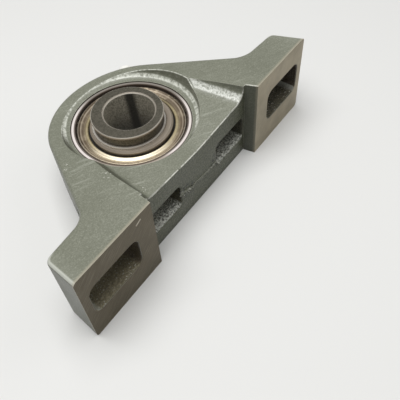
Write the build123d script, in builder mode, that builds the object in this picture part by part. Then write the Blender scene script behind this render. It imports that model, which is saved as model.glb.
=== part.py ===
from build123d import *
import os
from math import cos, radians, sin, sqrt, tan

# Pillow block bearing: a cast-iron housing on two slotted feet, with a sealed
# self-aligning ball insert whose inner ring carries an eccentric locking cam.
# Lengths are millimetres and angles are degrees.
# The origin is the centre of the ball insert. Z runs along the shaft towards
# the cam, X along the base, and the machined faces of the feet look towards -Y.
# The block lies on its flat side face, as it does when it is put down.

# Housing, seen along the shaft
centre_height = 38.7        # shaft axis to the machined feet
base_length = 141.2         # over the two feet
base_width = 38.1           # side face to side face at the feet
foot_height = 15.0          # machined face to the back of the foot, at its end
foot_rise = 4.4             # slope of the back of the foot
end_draft = 7.2             # lean of the end faces
crown_wall = 7.58           # metal round the seat, at the crown
shoulder_angle = 28.0       # lean of the shoulders from upright
shoulder_fillet = 9.0
machining_stock = 2.5       # cast on the feet, then milled away

# Housing, seen along the base
insert_shift = 0.55         # centre of the insert below the middle of the width, as it lies
dish_rim = 0.56             # least depth of the dish, at the crown
web_setback = 5.4           # front of the web behind the machined feet
web_slope = 3.5             # rise of the sunken web from its lowest line to the arms
web_bend = 100.0            # radius along that lowest line
step_inset = 0.6            # a step between arm and web starts this far inside the dish,
step_angle = 7.0            # leans outwards on its way to the front
step_gap = 1.3              # and ends this far from the foot beside it
foot_lean = 10.5            # lean of the inner ends of the feet
step_least = 0.33           # height of a step where it runs out into the dish
step_draft = 6.0
cove_share = 0.795          # cove along a step, as a share of the step's height at the front
cast_round = 1.6            # outer cast edges
end_round = 3.0             # between the ends of the feet and their backs
small_round = 0.6           # edges of the web, pockets and slots
brow_round = 0.5            # edge round the dish and along the arms

# Pockets cored into the front of the web, and the slots for the bolts
pocket_height = 12.5
pocket_centre = -4.15       # level of the middle of the pockets
pocket_inner_gap = 24.0     # metal left between the two pockets
pocket_wall = 0.9           # between a pocket and the foot beside it
pocket_depth = 6.6
pocket_corner = 2.5
core_draft = 4.0
slot_length = 24.4
slot_width = 15.4
slot_level = 1.45           # level of the middle of the slots
slot_corner = 3.6
slot_spacing = 109.6        # middle of one slot to the middle of the other

# Seat of the insert in the housing
insert_diameter = 52.0      # spherical outside of the insert
seat_clearance = 0.02
seat_lip = 0.15             # the seat is this much wider than the ring, each side
dish_gap = 1.68             # from the seat to the foot of the dish's wall
dish_fillet = 3.0
dish_shift = 0.6            # the cast dish stands off the machined seat, along X and Y
relief_gap = 0.98           # from the seat to the relief on the flat side
relief_draft = 9.0
loading_clearance = 0.3

# Ball bearing
bore_diameter = 20.638      # thirteen sixteenths of an inch
bore_chamfer = 0.5
outer_ring_width = 15.0
inner_ring_flush = 7.5      # centre plane to the end without the cam
inner_ring_cam_end = 14.0   # centre plane to the end of the cam
ring_chamfer = 0.4
outer_wall = 3.7            # outer ring at its lands
inner_wall = 6.681          # inner ring at its lands
ball_count = 9
track_depth = 1.319         # of the tracks below the lands, so a ball measures 5/16 inch
pitch_inset = 0.15          # the balls run this far inside the middle between the lands
conformity = 0.52           # raceway radius as a share of the ball diameter
race_clearance = 0.012
shoulder_level = 8.0        # end of the inner ring's full diameter, cam side
shoulder_chamfer = 0.7

# Eccentric cam on the inner ring
cam_offset = 0.95
cam_direction = 160.0
cam_wall = 4.331            # rim of the cam round the bore
cam_rim = 1.3
neck_step = 0.8             # the neck lies this far inside the rim
root_step = 1.05            # and this far inside the root under it
cam_root_height = 0.6
cam_edge = 0.25

# Seals: a pressed steel shroud bonded over a rubber lip
seal_step = 0.65            # depth of a seal's seat in the outer ring's land
seal_seat_level = 5.0
seal_fit = 0.04
shroud_thickness = 0.4
shroud_lip_gap = 0.6        # from the inner ring's land to the lip of the sheet
lip_rubber = 0.2            # least thickness of the rubber under the sheet
rim_rise = 0.4              # top of the sheet above its lip: at the rim,
crimp_rise = 1.25           # on the crimp,
trough_rise = 0.25          # in the trough
ridge_rise = 0.75           # and on the ridge
ridge_share = 0.19          # places of these across the sheet, from lip to rim
trough_share = 0.36
crimp_share = 0.81
lip_gap = 0.06

# Two-piece riveted ribbon cage
cage_thickness = 0.6
cage_width = 3.2
pocket_play = 0.1
rivet_diameter = 1.2
rivet_head_diameter = 2.2
rivet_head_height = 0.45
rivet_play = 0.03

# Grease fitting in the crown, with a plastic cap
fitting_angle = 45.0
fitting_thread_diameter = 6.2
fitting_thread_length = 6.0
fitting_play = 0.04
fitting_hex = 7.0
fitting_hex_height = 2.2
fitting_head_diameter = 6.4
fitting_neck_step = 0.9     # the neck lies this far inside the head
fitting_head_height = 2.4
fitting_length = 6.6
fitting_bore = 1.5
grease_hole_diameter = 4.0
groove_width = 3.0          # round the outer ring, beside the track of the balls
groove_depth = 0.6
groove_level = 2.6
feed_hole_diameter = 1.0    # through the outer ring, from its groove
feed_level = 3.5
cap_wall = 0.75
cap_end = 1.2
cap_skirt = 0.6             # the cap reaches this far below the head
cap_round = 0.7

# Sizes that follow from these
flat_side = base_width / 2 - insert_shift
cam_side = base_width / 2 + insert_shift
sphere_radius = insert_diameter / 2
seat_radius = sphere_radius + seat_clearance
seat_half = outer_ring_width / 2 + seat_lip
crown_radius = seat_radius + crown_wall
dish_radius = seat_radius + dish_gap
relief_radius = seat_radius + relief_gap
web_front = centre_height - web_setback
step_x = (dish_radius - step_inset) * cos(radians(step_angle))
step_y = (dish_radius - step_inset) * sin(radians(step_angle))
front_x = step_x + (step_y + web_front) * tan(radians(step_angle))
foot_start = front_x + step_gap
foot_inner = foot_start + web_setback * tan(radians(foot_lean))
foot_outer = base_length / 2
outer_land_diameter = insert_diameter - 2 * outer_wall
inner_land_diameter = bore_diameter + 2 * inner_wall
seal_seat_diameter = outer_land_diameter + 2 * seal_step
pitch_radius = (outer_land_diameter + inner_land_diameter) / 4 - pitch_inset
ball_radius = (outer_land_diameter - inner_land_diameter) / 4 + track_depth
race_radius = 2 * conformity * ball_radius
cam_diameter = bore_diameter + 2 * cam_wall
cam_neck_diameter = cam_diameter - 2 * neck_step
cam_root_diameter = cam_neck_diameter + 2 * root_step
ring_half = outer_ring_width / 2
race_shift = race_radius - ball_radius - race_clearance
far = base_length           # longer than anything that it cuts


def around(angle):
    """Unit vector square to the shaft, this far round from +X."""
    return Vector(cos(radians(angle)), sin(radians(angle)), 0)


def foot_back(x):
    """Back of a foot: it rises from the end towards the arm."""
    run = foot_outer - x
    return -centre_height + foot_height + run * tan(radians(foot_rise))


def shoulder_corner():
    """Where the back of a foot meets the arm."""
    slope_foot = tan(radians(foot_rise))
    lean = tan(radians(shoulder_angle))
    at_axis = crown_radius / cos(radians(shoulder_angle))
    y_end = -centre_height + foot_height + foot_outer * slope_foot
    x = (at_axis - lean * y_end) / (1 - lean * slope_foot)
    return x, foot_back(x)


# The cam-side face falls from the feet to the crown, where the dish is shallowest
side_fall = (cam_side - seat_half - dish_rim) / (centre_height + dish_radius + dish_shift)
side_plane = Plane(
    origin=(0, -centre_height, cam_side), x_dir=(1, 0, 0), z_dir=Vector(0, side_fall, 1).normalized()
)
grease_plane = Plane(
    origin=crown_radius * around(fitting_angle),
    x_dir=(0, 0, 1),
    z_dir=around(fitting_angle),
)
os.makedirs("parts", exist_ok=True)


def save(piece, name):
    """Label a finished piece and write it under its own name."""
    piece.part.label = name
    export_step(piece.part, f"parts/{name}.step")


# Housing
corner_x, corner_y = shoulder_corner()
tangent_x = crown_radius * cos(radians(shoulder_angle))
tangent_y = crown_radius * sin(radians(shoulder_angle))
foot_end_top = foot_outer - foot_height * tan(radians(end_draft))
foot_end_stock = foot_outer + machining_stock * tan(radians(end_draft))
foot_inner_stock = foot_inner + machining_stock * tan(radians(foot_lean))
stock_y = -centre_height - machining_stock

with BuildPart() as housing:
    with BuildSketch(Plane.XY.offset(-flat_side)):
        with BuildLine():
            Polyline(
                (0, -web_front),
                (foot_start, -web_front),
                (foot_inner_stock, stock_y),
                (foot_end_stock, stock_y),
                (foot_end_top, foot_back(foot_end_top)),
                (corner_x, corner_y),
                (tangent_x, tangent_y),
            )
            ThreePointArc(
                (tangent_x, tangent_y),
                (crown_radius * cos(radians(45)), crown_radius * sin(radians(45))),
                (0, crown_radius),
            )
            mirror(about=Plane.YZ)
        make_face()
        inner_corners = vertices().filter_by(
            lambda v: abs(abs(v.X) - corner_x) < 0.01 and abs(v.Y - corner_y) < 0.01
        )
        fillet(inner_corners, shoulder_fillet)
    extrude(amount=far)
    split(bisect_by=side_plane, keep=Keep.BOTTOM)

    # Cast edges are round, and the milling of the feet leaves sharp ones
    end_edges = edges().filter_by(GeomType.LINE).filter_by(
        lambda e: abs(abs(e.center().X) - foot_end_top) < 0.5 and e.length > base_width / 2
    )
    fillet(end_edges, end_round)
    rims = (
        faces().filter_by(lambda f: f.normal_at().dot(side_plane.z_dir) > 0.999).edges()
        + faces().filter_by(lambda f: f.normal_at().Z < -0.999).edges()
    ).filter_by(
        lambda e: e.center().Y > -centre_height
        and abs(e.center().Y + web_front) > 0.01
        and not (e.center().Y < -web_front and foot_start < abs(e.center().X) < foot_inner_stock)
    )
    fillet(rims, cast_round)
    with BuildSketch(Plane.XZ.offset(centre_height)):
        Rectangle(2 * far, 2 * far)
    extrude(amount=far, mode=Mode.SUBTRACT)

    # Sunken web between the arms, a shallow valley with a cove along each step
    step_top = cam_side - (centre_height + step_y) * side_fall
    web_level = step_top - step_least - step_x * tan(radians(web_slope))
    for side in (-1, 1):
        rise = side * sin(radians(web_slope))
        run = cos(radians(web_slope))
        web_plane = Plane(origin=(0, 0, web_level), x_dir=(run, 0, rise), z_dir=(-rise, 0, run))
        with BuildSketch(web_plane):
            with BuildLine():
                Polyline(
                    (0, step_y), (side * step_x, step_y),
                    (side * front_x, -web_front), (0, -web_front), close=True,
                )
            make_face()
        extrude(amount=base_width / 2, taper=-step_draft, mode=Mode.SUBTRACT)
    step_feet = edges().filter_by(GeomType.LINE).filter_by(
        lambda e: abs(e.center().Z - web_level - abs(e.center().X) * tan(radians(web_slope))) < 0.01
        and step_x < abs(e.center().X) < front_x
    )
    step_height = cam_side - web_setback * side_fall - web_level - front_x * tan(radians(web_slope))
    fillet(step_feet, cove_share * step_height)
    web_bottom = edges().filter_by(GeomType.LINE).filter_by(
        lambda e: abs(e.center().X) < 0.01 and abs(e.center().Z - web_level) < 0.01
    )
    fillet(web_bottom, web_bend)
    web_brow = edges().filter_by(
        lambda e: abs(e.center().Y + web_front) < 0.01 and e.center().Z > web_level - 0.01
        and abs(e.center().X) < front_x
    )
    fillet(web_brow, small_round)

    # Dish round the insert, relief on the flat side, and the spherical seat
    dish_axis = Axis((dish_shift, dish_shift, 0), (0, 0, 1))
    with BuildSketch(Plane(origin=(dish_shift, dish_shift, 0), x_dir=(1, 0, 0), z_dir=(0, -1, 0))):
        with BuildLine():
            wall = dish_radius + base_width * tan(radians(step_draft))
            FilletPolyline(
                (0, seat_half), (dish_radius, seat_half), (wall, seat_half + base_width),
                (0, seat_half + base_width), radius=dish_fillet,
            )
            Line((0, seat_half + base_width), (0, seat_half))
        make_face()
    revolve(axis=dish_axis, mode=Mode.SUBTRACT)
    with BuildSketch(Plane.XZ):
        with BuildLine():
            flare = relief_radius + (flat_side - seat_half) * tan(radians(relief_draft))
            Polyline(
                (0, -seat_half), (relief_radius, -seat_half), (flare, -flat_side),
                (0, -flat_side), close=True,
            )
        make_face()
    revolve(axis=Axis.Z, mode=Mode.SUBTRACT)
    Sphere(seat_radius, mode=Mode.SUBTRACT)

    # Two slots through the flat side let the ring in on edge, up to its middle
    with BuildSketch(Plane.XY.offset(-flat_side)):
        Rectangle(2 * (seat_radius + loading_clearance), outer_ring_width + 2 * loading_clearance)
    extrude(amount=flat_side, mode=Mode.SUBTRACT)

    # The dish and the steps meet the arms in one long edge
    brow = faces().filter_by(lambda f: f.normal_at().dot(side_plane.z_dir) > 0.999).edges()
    brow = brow.filter_by(
        lambda e: abs(e.center().Y + web_front) > 0.01
        and e.center().Y > -web_front
        and abs(e.center().X) < foot_start
        and Vector(e.center().X, e.center().Y, 0).length < crown_radius - cast_round
    )
    fillet(brow, brow_round)

    # Pockets in the front of the web
    pocket_length = foot_start - pocket_wall - pocket_inner_gap / 2
    for side in (-1, 1):
        pocket_middle = side * (pocket_inner_gap / 2 + pocket_length / 2)
        with BuildSketch(Plane.XZ.offset(web_front)):
            with Locations((pocket_middle, pocket_centre)):
                RectangleRounded(pocket_length, pocket_height, pocket_corner)
        extrude(amount=-pocket_depth, taper=core_draft, mode=Mode.SUBTRACT)
    pocket_rims = edges().filter_by(
        lambda e: abs(e.center().Y + web_front) < 0.01
        and abs(e.center().Z - pocket_centre) < pocket_height / 2 + 0.1
        and pocket_inner_gap / 2 - 0.1 < abs(e.center().X) < foot_start - 0.9 * pocket_wall
    )
    fillet(pocket_rims, small_round)

    # Bolt slots through the feet
    with BuildSketch(Plane.XZ.offset(centre_height)):
        with Locations((-slot_spacing / 2, slot_level), (slot_spacing / 2, slot_level)):
            RectangleRounded(slot_length, slot_width, slot_corner)
    extrude(amount=-2 * foot_height, mode=Mode.SUBTRACT)
    slot_rims = edges().filter_by(
        lambda e: abs(e.center().Y + centre_height) < 0.01
        and abs(abs(e.center().X) - slot_spacing / 2) < slot_length / 2 + 0.1
        and abs(e.center().Z - slot_level) < slot_width / 2 + 0.1
    )
    fillet(slot_rims, small_round)

    # Tapped hole and grease way at the crown
    with BuildSketch(grease_plane):
        Circle(fitting_thread_diameter / 2 + fitting_play)
    extrude(amount=-fitting_thread_length - fitting_play, mode=Mode.SUBTRACT)
    with BuildSketch(grease_plane):
        Circle(grease_hole_diameter / 2)
    extrude(amount=-crown_radius, mode=Mode.SUBTRACT)

save(housing, "housing")

# Outer ring: a sphere outside, a deep groove and two seal seats inside
with BuildPart() as outer_ring:
    Sphere(sphere_radius)
    for side in (-1, 1):
        with BuildSketch(Plane.XY.offset(side * ring_half)):
            Circle(2 * sphere_radius)
        extrude(amount=side * far, mode=Mode.SUBTRACT)
    chamfer(edges().filter_by(GeomType.CIRCLE), ring_chamfer)
    Cylinder(outer_land_diameter / 2, 2 * outer_ring_width, mode=Mode.SUBTRACT)
    for side in (-1, 1):
        with BuildSketch(Plane.XY.offset(side * seal_seat_level)):
            Circle(seal_seat_diameter / 2)
        extrude(amount=side * outer_ring_width, mode=Mode.SUBTRACT)
    with BuildSketch(Plane.XZ):
        with Locations((pitch_radius - race_shift, 0)):
            Circle(race_radius)
    revolve(axis=Axis.Z, mode=Mode.SUBTRACT)
    with BuildSketch(Plane.XZ):
        with Locations((sphere_radius, groove_level)):
            Rectangle(2 * groove_depth, groove_width)
    revolve(axis=Axis.Z, mode=Mode.SUBTRACT)
    # Grease gets in through two small holes beside the track
    for angle in (0, 180):
        hole_plane = Plane(origin=(0, 0, feed_level), x_dir=(0, 0, 1), z_dir=around(angle))
        with BuildSketch(hole_plane):
            Circle(feed_hole_diameter / 2)
        extrude(amount=sphere_radius, mode=Mode.SUBTRACT)

save(outer_ring, "outer_ring")

# Inner ring, with the eccentric cam that a locking collar would grip
cam_x = cam_offset * cos(radians(cam_direction))
cam_y = cam_offset * sin(radians(cam_direction))
with BuildPart() as inner_ring:
    with BuildSketch(Plane.XY.offset(-inner_ring_flush)):
        Circle(inner_land_diameter / 2)
    extrude(amount=inner_ring_flush + shoulder_level)
    chamfer(edges().group_by(Axis.Z)[0], ring_chamfer)
    chamfer(edges().group_by(Axis.Z)[-1], shoulder_chamfer)
    with BuildSketch(Plane.XZ):
        with Locations((pitch_radius + race_shift, 0)):
            Circle(race_radius)
    revolve(axis=Axis.Z, mode=Mode.SUBTRACT)
    rim_level = inner_ring_cam_end - cam_rim
    for diameter, bottom, top in (
        (cam_root_diameter, shoulder_level, shoulder_level + cam_root_height),
        (cam_neck_diameter, shoulder_level, rim_level),
        (cam_diameter, rim_level, inner_ring_cam_end),
    ):
        with BuildSketch(Plane.XY.offset(bottom)):
            with Locations((cam_x, cam_y)):
                Circle(diameter / 2)
        extrude(amount=top - bottom)
    rim_edges = edges().filter_by(GeomType.CIRCLE).filter_by(
        lambda e: abs(e.radius - cam_diameter / 2) < 0.01
    )
    chamfer(rim_edges, cam_edge)
    Cylinder(bore_diameter / 2, 4 * inner_ring_cam_end, mode=Mode.SUBTRACT)
    bore_edges = edges().filter_by(GeomType.CIRCLE).filter_by(
        lambda e: abs(e.radius - bore_diameter / 2) < 0.01
    )
    chamfer(bore_edges, bore_chamfer)

save(inner_ring, "inner_ring")

# Balls
for number in range(ball_count):
    turn = radians(number * 360 / ball_count)
    with BuildPart() as ball:
        with Locations((pitch_radius * cos(turn), pitch_radius * sin(turn), 0)):
            Sphere(ball_radius)
    save(ball, f"ball_{number + 1}")

# Cage: two pressed ribbons back to back, riveted between the balls
with BuildPart() as cage_upper:
    with BuildSketch():
        Circle(pitch_radius + cage_width / 2)
    extrude(amount=cage_thickness)
    with PolarLocations(pitch_radius, ball_count):
        Sphere(ball_radius + pocket_play + cage_thickness)
    with BuildSketch():
        Circle(pitch_radius + cage_width / 2)
        Circle(pitch_radius - cage_width / 2, mode=Mode.SUBTRACT)
    extrude(amount=far, mode=Mode.INTERSECT)
    with PolarLocations(pitch_radius, ball_count):
        Sphere(ball_radius + pocket_play, mode=Mode.SUBTRACT)
    with PolarLocations(pitch_radius, ball_count, start_angle=180 / ball_count):
        Cylinder(rivet_diameter / 2 + rivet_play, 4 * cage_thickness, mode=Mode.SUBTRACT)

save(cage_upper, "cage_upper")

with BuildPart() as cage_lower:
    mirror(cage_upper.part, about=Plane.XY)

save(cage_lower, "cage_lower")

with BuildPart() as cage_rivets:
    with PolarLocations(pitch_radius, ball_count, start_angle=180 / ball_count):
        Cylinder(rivet_diameter / 2, 2 * cage_thickness)
    for side in (-1, 1):
        with BuildSketch(Plane.XY.offset(side * cage_thickness)):
            with PolarLocations(pitch_radius, ball_count, start_angle=180 / ball_count):
                Circle(rivet_head_diameter / 2)
        extrude(amount=side * rivet_head_height)
    rivet_ends = edges().filter_by(GeomType.CIRCLE).filter_by(
        lambda e: abs(abs(e.center().Z) - cage_thickness - rivet_head_height) < 0.01
    )
    fillet(rivet_ends, 0.8 * rivet_head_height)

save(cage_rivets, "cage_rivets")


def shroud_curve(drop):
    """Section of the pressed shroud from its rim to its lip, this far below its top."""
    lip = inner_land_diameter / 2 + shroud_lip_gap
    sheet = seal_seat_diameter / 2 - seal_fit - lip
    level = seal_seat_level + lip_rubber + shroud_thickness - drop
    slope = crimp_share - trough_share
    fall = crimp_rise - trough_rise
    return Spline(
        (lip + sheet, level + rim_rise),
        (lip + (1 + crimp_share) / 2 * sheet, level + rim_rise + 0.1),
        (lip + crimp_share * sheet, level + crimp_rise),
        (lip + (trough_share + 0.67 * slope) * sheet, level + trough_rise + 0.7 * fall),
        (lip + (trough_share + 0.42 * slope) * sheet, level + trough_rise + 0.5 * fall),
        (lip + trough_share * sheet, level + trough_rise),
        (lip + ridge_share * sheet, level + ridge_rise),
        (lip, level),
    )


with BuildPart() as shroud_upper:
    with BuildSketch(Plane.XZ):
        with BuildLine():
            top_curve = shroud_curve(0)
            under_curve = shroud_curve(shroud_thickness)
            Line(top_curve @ 0, under_curve @ 0)
            Line(top_curve @ 1, under_curve @ 1)
        make_face()
    revolve(axis=Axis.Z)

save(shroud_upper, "shroud_upper")

with BuildPart() as seal_upper:
    with BuildSketch(Plane.XZ):
        with BuildLine():
            bonded = shroud_curve(shroud_thickness)
            lip_radius = inner_land_diameter / 2 + lip_gap
            lip_top = seal_seat_level + lip_rubber
            Polyline(
                bonded @ 0,
                ((bonded @ 0).X, seal_seat_level),
                (lip_radius, seal_seat_level),
                (lip_radius, lip_top),
                bonded @ 1,
            )
        make_face()
    revolve(axis=Axis.Z)

save(seal_upper, "seal_upper")

with BuildPart() as shroud_lower:
    mirror(shroud_upper.part, about=Plane.XY)

save(shroud_lower, "shroud_lower")

with BuildPart() as seal_lower:
    mirror(seal_upper.part, about=Plane.XY)

save(seal_lower, "seal_lower")

# Grease fitting screwed into the crown, and the cap that keeps dirt out of it
with BuildPart() as grease_fitting:
    with BuildSketch(grease_plane):
        Circle(fitting_thread_diameter / 2)
    extrude(amount=-fitting_thread_length)
    with BuildSketch(grease_plane):
        RegularPolygon(fitting_hex / 2, 6, major_radius=False)
    extrude(amount=fitting_hex_height)
    with BuildSketch(grease_plane):
        Circle(fitting_head_diameter / 2 - fitting_neck_step)
    extrude(amount=fitting_length)
    with BuildSketch(grease_plane.offset(fitting_length - fitting_head_height)):
        Circle(fitting_head_diameter / 2)
    extrude(amount=fitting_head_height)
    head_edges = edges().filter_by(GeomType.CIRCLE).filter_by(
        lambda e: abs(e.radius - fitting_head_diameter / 2) < 0.01
    )
    chamfer(head_edges, 0.89 * fitting_neck_step)
    with BuildSketch(grease_plane.offset(-fitting_thread_length)):
        Circle(fitting_bore / 2)
    extrude(amount=far, mode=Mode.SUBTRACT)

save(grease_fitting, "grease_fitting")

cap_bottom = fitting_length - fitting_head_height - cap_skirt
with BuildPart() as fitting_cap:
    with BuildSketch(grease_plane.offset(cap_bottom)):
        Circle(fitting_head_diameter / 2 + fitting_play + cap_wall)
    extrude(amount=fitting_length + fitting_play + cap_end - cap_bottom)
    cap_top = faces().sort_by(lambda f: f.center().dot(grease_plane.z_dir))[-1]
    fillet(cap_top.edges(), cap_round)
    with BuildSketch(grease_plane.offset(cap_bottom)):
        Circle(fitting_head_diameter / 2 + fitting_play)
    extrude(amount=fitting_length + fitting_play - cap_bottom, mode=Mode.SUBTRACT)

save(fitting_cap, "fitting_cap")
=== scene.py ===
# %% [markdown]
# # A pillow block bearing, dressed in Blender
#
# The object is a cast-iron pillow block that holds a sealed ball insert. Its shapes come packed,
# at their real size, with the centre of the insert at the origin and +Z along the shaft. This lesson
# gives every surface its finish: grey-green paint over rough casting, bare milled feet, a ground
# ring, yellow-passivated shrouds, a dark turned inner ring and a white plastic cap.
# It ends with a floor, soft studio light and a camera at the height of a person who looks down.

# %% Load the frame
import math

import bpy
import numpy as np
from mathutils import Matrix, Vector


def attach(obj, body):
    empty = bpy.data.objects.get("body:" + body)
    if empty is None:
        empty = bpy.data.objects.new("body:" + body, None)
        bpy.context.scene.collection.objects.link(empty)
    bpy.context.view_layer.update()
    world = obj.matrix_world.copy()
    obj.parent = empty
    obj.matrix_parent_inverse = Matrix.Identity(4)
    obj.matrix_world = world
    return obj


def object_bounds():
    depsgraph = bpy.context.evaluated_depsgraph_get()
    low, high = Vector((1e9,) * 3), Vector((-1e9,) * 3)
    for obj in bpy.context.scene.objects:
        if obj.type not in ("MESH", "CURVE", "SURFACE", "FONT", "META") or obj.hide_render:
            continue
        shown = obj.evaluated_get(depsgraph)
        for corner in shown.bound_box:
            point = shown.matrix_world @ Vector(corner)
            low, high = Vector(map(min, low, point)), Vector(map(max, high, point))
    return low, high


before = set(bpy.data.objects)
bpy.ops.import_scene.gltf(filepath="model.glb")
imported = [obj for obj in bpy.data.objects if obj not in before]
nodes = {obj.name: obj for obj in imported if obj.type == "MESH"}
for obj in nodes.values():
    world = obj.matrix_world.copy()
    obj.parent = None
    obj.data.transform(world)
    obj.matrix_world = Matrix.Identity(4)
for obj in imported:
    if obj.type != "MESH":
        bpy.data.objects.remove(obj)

MM = 0.001
cad_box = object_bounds()
print("nodes:", len(nodes), "box:", [[round(c / MM, 1) for c in corner] for corner in cad_box])

# %% [markdown]
# ## The sizes that the finishes follow
#
# A finish on this object follows its form: paint stops where the cutter milled the feet, and the dark
# rough skin starts inside the slots. Each of these places is a real size on the casting, so each gets
# a name here, in metres, and the materials use the names.

# %% Name the places on the casting
FLOOR = cad_box[0].z
MILLED_LEVEL = -38.7 * MM                   # y of the milled faces of the feet
WEB_FRONT = -33.3 * MM                      # y of the front of the web
FOOT_INNER = 33.7 * MM                      # x of a foot's inner end, at the milled face
FOOT_LEAN = math.radians(10.5)              # how far that end leans
FOOT_ROUNDING = (64.0 * MM, 67.5 * MM)      # where a foot's outer end rounds off
SLOT_ENDS = (42.5 * MM, 67.1 * MM)
SLOT_LEVEL = 1.45 * MM                      # z of the middle of the slots
SLOT_HALF_WIDTH = 7.8 * MM
SLOT_BACK = -15.5 * MM                      # y behind which no slot reaches
POCKET_ENDS = (12.0 * MM, 32.0 * MM)
POCKET_LEVEL = -4.15 * MM
POCKET_HALF_HEIGHT = 6.2 * MM
POCKET_REACH = 7.5 * MM                     # a little deeper than the pockets go
DISH_CENTRE = 0.6 * MM                      # both x and y of it
DISH_FLOOR = 7.65 * MM                      # z of the dish's foot, where its cove starts
DISH_COVE = (24.9 * MM, 28.6 * MM)          # radii from the mouth of the seat to the end of the cove
STEP_COVES = (20.0 * MM, 33.3 * MM)         # x of the coves beside the steps to the arms
AWAY = math.radians(39)                     # the camera's direction, seen from above
print("floor at", round(FLOOR / MM, 2), "mm")

# %% [markdown]
# ## A few words for building node trees
#
# A material is a graph of nodes, and graphs written link by link are hard to read. These helpers make
# them read like arithmetic. They add a node and fill its sockets, do maths on sockets or numbers, make
# a smooth step between two values, and find where on the object a point is.

# %% Helpers for maths in a node tree
def add_node(tree, kind, inputs=None, **settings):
    """Adds a node, sets its properties, and fills its inputs with values or links."""
    node = tree.nodes.new(kind)
    for name, value in settings.items():
        setattr(node, name, value)
    for key, value in (inputs or {}).items():
        if isinstance(value, bpy.types.NodeSocket):
            tree.links.new(value, node.inputs[key])
        else:
            node.inputs[key].default_value = value
    return node


def maths(tree, operation, *values):
    """One Math node on sockets or numbers; gives its output socket."""
    inputs = dict(enumerate(values))
    return add_node(tree, "ShaderNodeMath", inputs, operation=operation).outputs[0]


def chain(tree, operation, values):
    """One operation carried through all the values, from the first to the last."""
    result = values[0]
    for value in values[1:]:
        result = maths(tree, operation, result, value)
    return result


def product(tree, *values):
    """All the values multiplied together."""
    return chain(tree, "MULTIPLY", values)


def total(tree, *values):
    """All the values added up."""
    return chain(tree, "ADD", values)


def inverse(tree, mask):
    """1 minus the mask."""
    return maths(tree, "SUBTRACT", 1.0, mask)


def ramp(tree, value, low, high):
    """A smooth step: 0 where the value is at low, 1 where it is at high. low may be above high."""
    inputs = {"Value": value, "From Min": low, "From Max": high, "To Min": 0.0, "To Max": 1.0}
    node = add_node(tree, "ShaderNodeMapRange", inputs, interpolation_type="SMOOTHSTEP")
    return node.outputs["Result"]


print("helpers for maths ready")

# %% Helpers for place and noise
def object_point(tree):
    """Where on the object this point is, in metres."""
    return add_node(tree, "ShaderNodeTexCoord").outputs["Object"]


def place_of(tree):
    """The point's x, y and z."""
    split = add_node(tree, "ShaderNodeSeparateXYZ", {0: object_point(tree)})
    return [split.outputs[axis] for axis in "XYZ"]


def distance_from(tree, x, y, centre_x=0.0, centre_y=0.0):
    """Distance from an axis along Z."""
    dx = maths(tree, "SUBTRACT", x, centre_x)
    dy = maths(tree, "SUBTRACT", y, centre_y)
    return maths(tree, "SQRT", total(tree, product(tree, dx, dx), product(tree, dy, dy)))


def noise(tree, scale, detail=3.0, roughness=0.6, point=None):
    """Noise from 0 to 1, about one blob in each 1/scale metres."""
    inputs = {"Vector": point or object_point(tree), "Scale": scale, "Detail": detail, "Roughness": roughness}
    return add_node(tree, "ShaderNodeTexNoise", inputs).outputs["Fac"]


print("noise of 1500 per metre has blobs of about", round(1 / 1500 / MM, 2), "mm")

# %% [markdown]
# ## Shared effects as node groups
#
# Four effects are built once each as a node group, and every finish that needs one places it with its
# own values: the grain that sand leaves on iron, the worn line along an edge, the rings that a lathe
# leaves, and painted shade, with dust, in corners. A group here gives out only masks and heights. The
# shader stays in the material.

# %% A helper that starts a node group
def start_group(name, inputs, outputs):
    """A shader node group with float sockets. Gives the tree, the outputs of its input node, and the
    inputs of its output node."""
    tree = bpy.data.node_groups.new(name, "ShaderNodeTree")
    for socket, default in inputs.items():
        made = tree.interface.new_socket(socket, in_out="INPUT", socket_type="NodeSocketFloat")
        made.default_value = default
    for socket in outputs:
        tree.interface.new_socket(socket, in_out="OUTPUT", socket_type="NodeSocketFloat")
    return tree, tree.nodes.new("NodeGroupInput").outputs, tree.nodes.new("NodeGroupOutput").inputs


# %% Cast grain
def build_cast_grain():
    """Height of a sand-cast skin: fine grain of about 0.4 mm over soft waves of about 3 mm.
    Pits is 1 in the few deepest grains."""
    tree, given, result = start_group("cast_grain", {"Fineness": 2400.0, "Waves": 330.0}, ["Height", "Pits"])
    grain = noise(tree, given["Fineness"])
    waves = noise(tree, given["Waves"], detail=2.0, roughness=0.5)
    height = total(tree, product(tree, grain, 0.45), product(tree, waves, 0.55))
    tree.links.new(height, result["Height"])
    tree.links.new(ramp(tree, grain, 0.38, 0.30), result["Pits"])
    return tree


cast_grain = build_cast_grain()
print("group:", cast_grain.name)

# %% Edge wear
def build_edge_wear():
    """Mask of worn edges. A bevelled normal differs from the true one only near an edge, so their
    difference marks it; noise breaks the line up as rubbing does."""
    tree, given, result = start_group("edge_wear", {"Width": 0.5 * MM, "Patchiness": 0.5}, ["Mask"])
    bent = add_node(tree, "ShaderNodeBevel", {"Radius": given["Width"]}, samples=4).outputs["Normal"]
    true = add_node(tree, "ShaderNodeNewGeometry").outputs["Normal"]
    likeness = add_node(tree, "ShaderNodeVectorMath", {0: bent, 1: true}, operation="DOT_PRODUCT")
    edge = ramp(tree, likeness.outputs["Value"], 0.995, 0.86)
    patches = ramp(tree, noise(tree, 420.0, detail=4.0, roughness=0.65), 0.36, 0.62)
    kept = inverse(tree, product(tree, given["Patchiness"], inverse(tree, patches)))
    tree.links.new(product(tree, edge, kept), result["Mask"])
    return tree


edge_wear = build_edge_wear()
print("group:", edge_wear.name)

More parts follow.
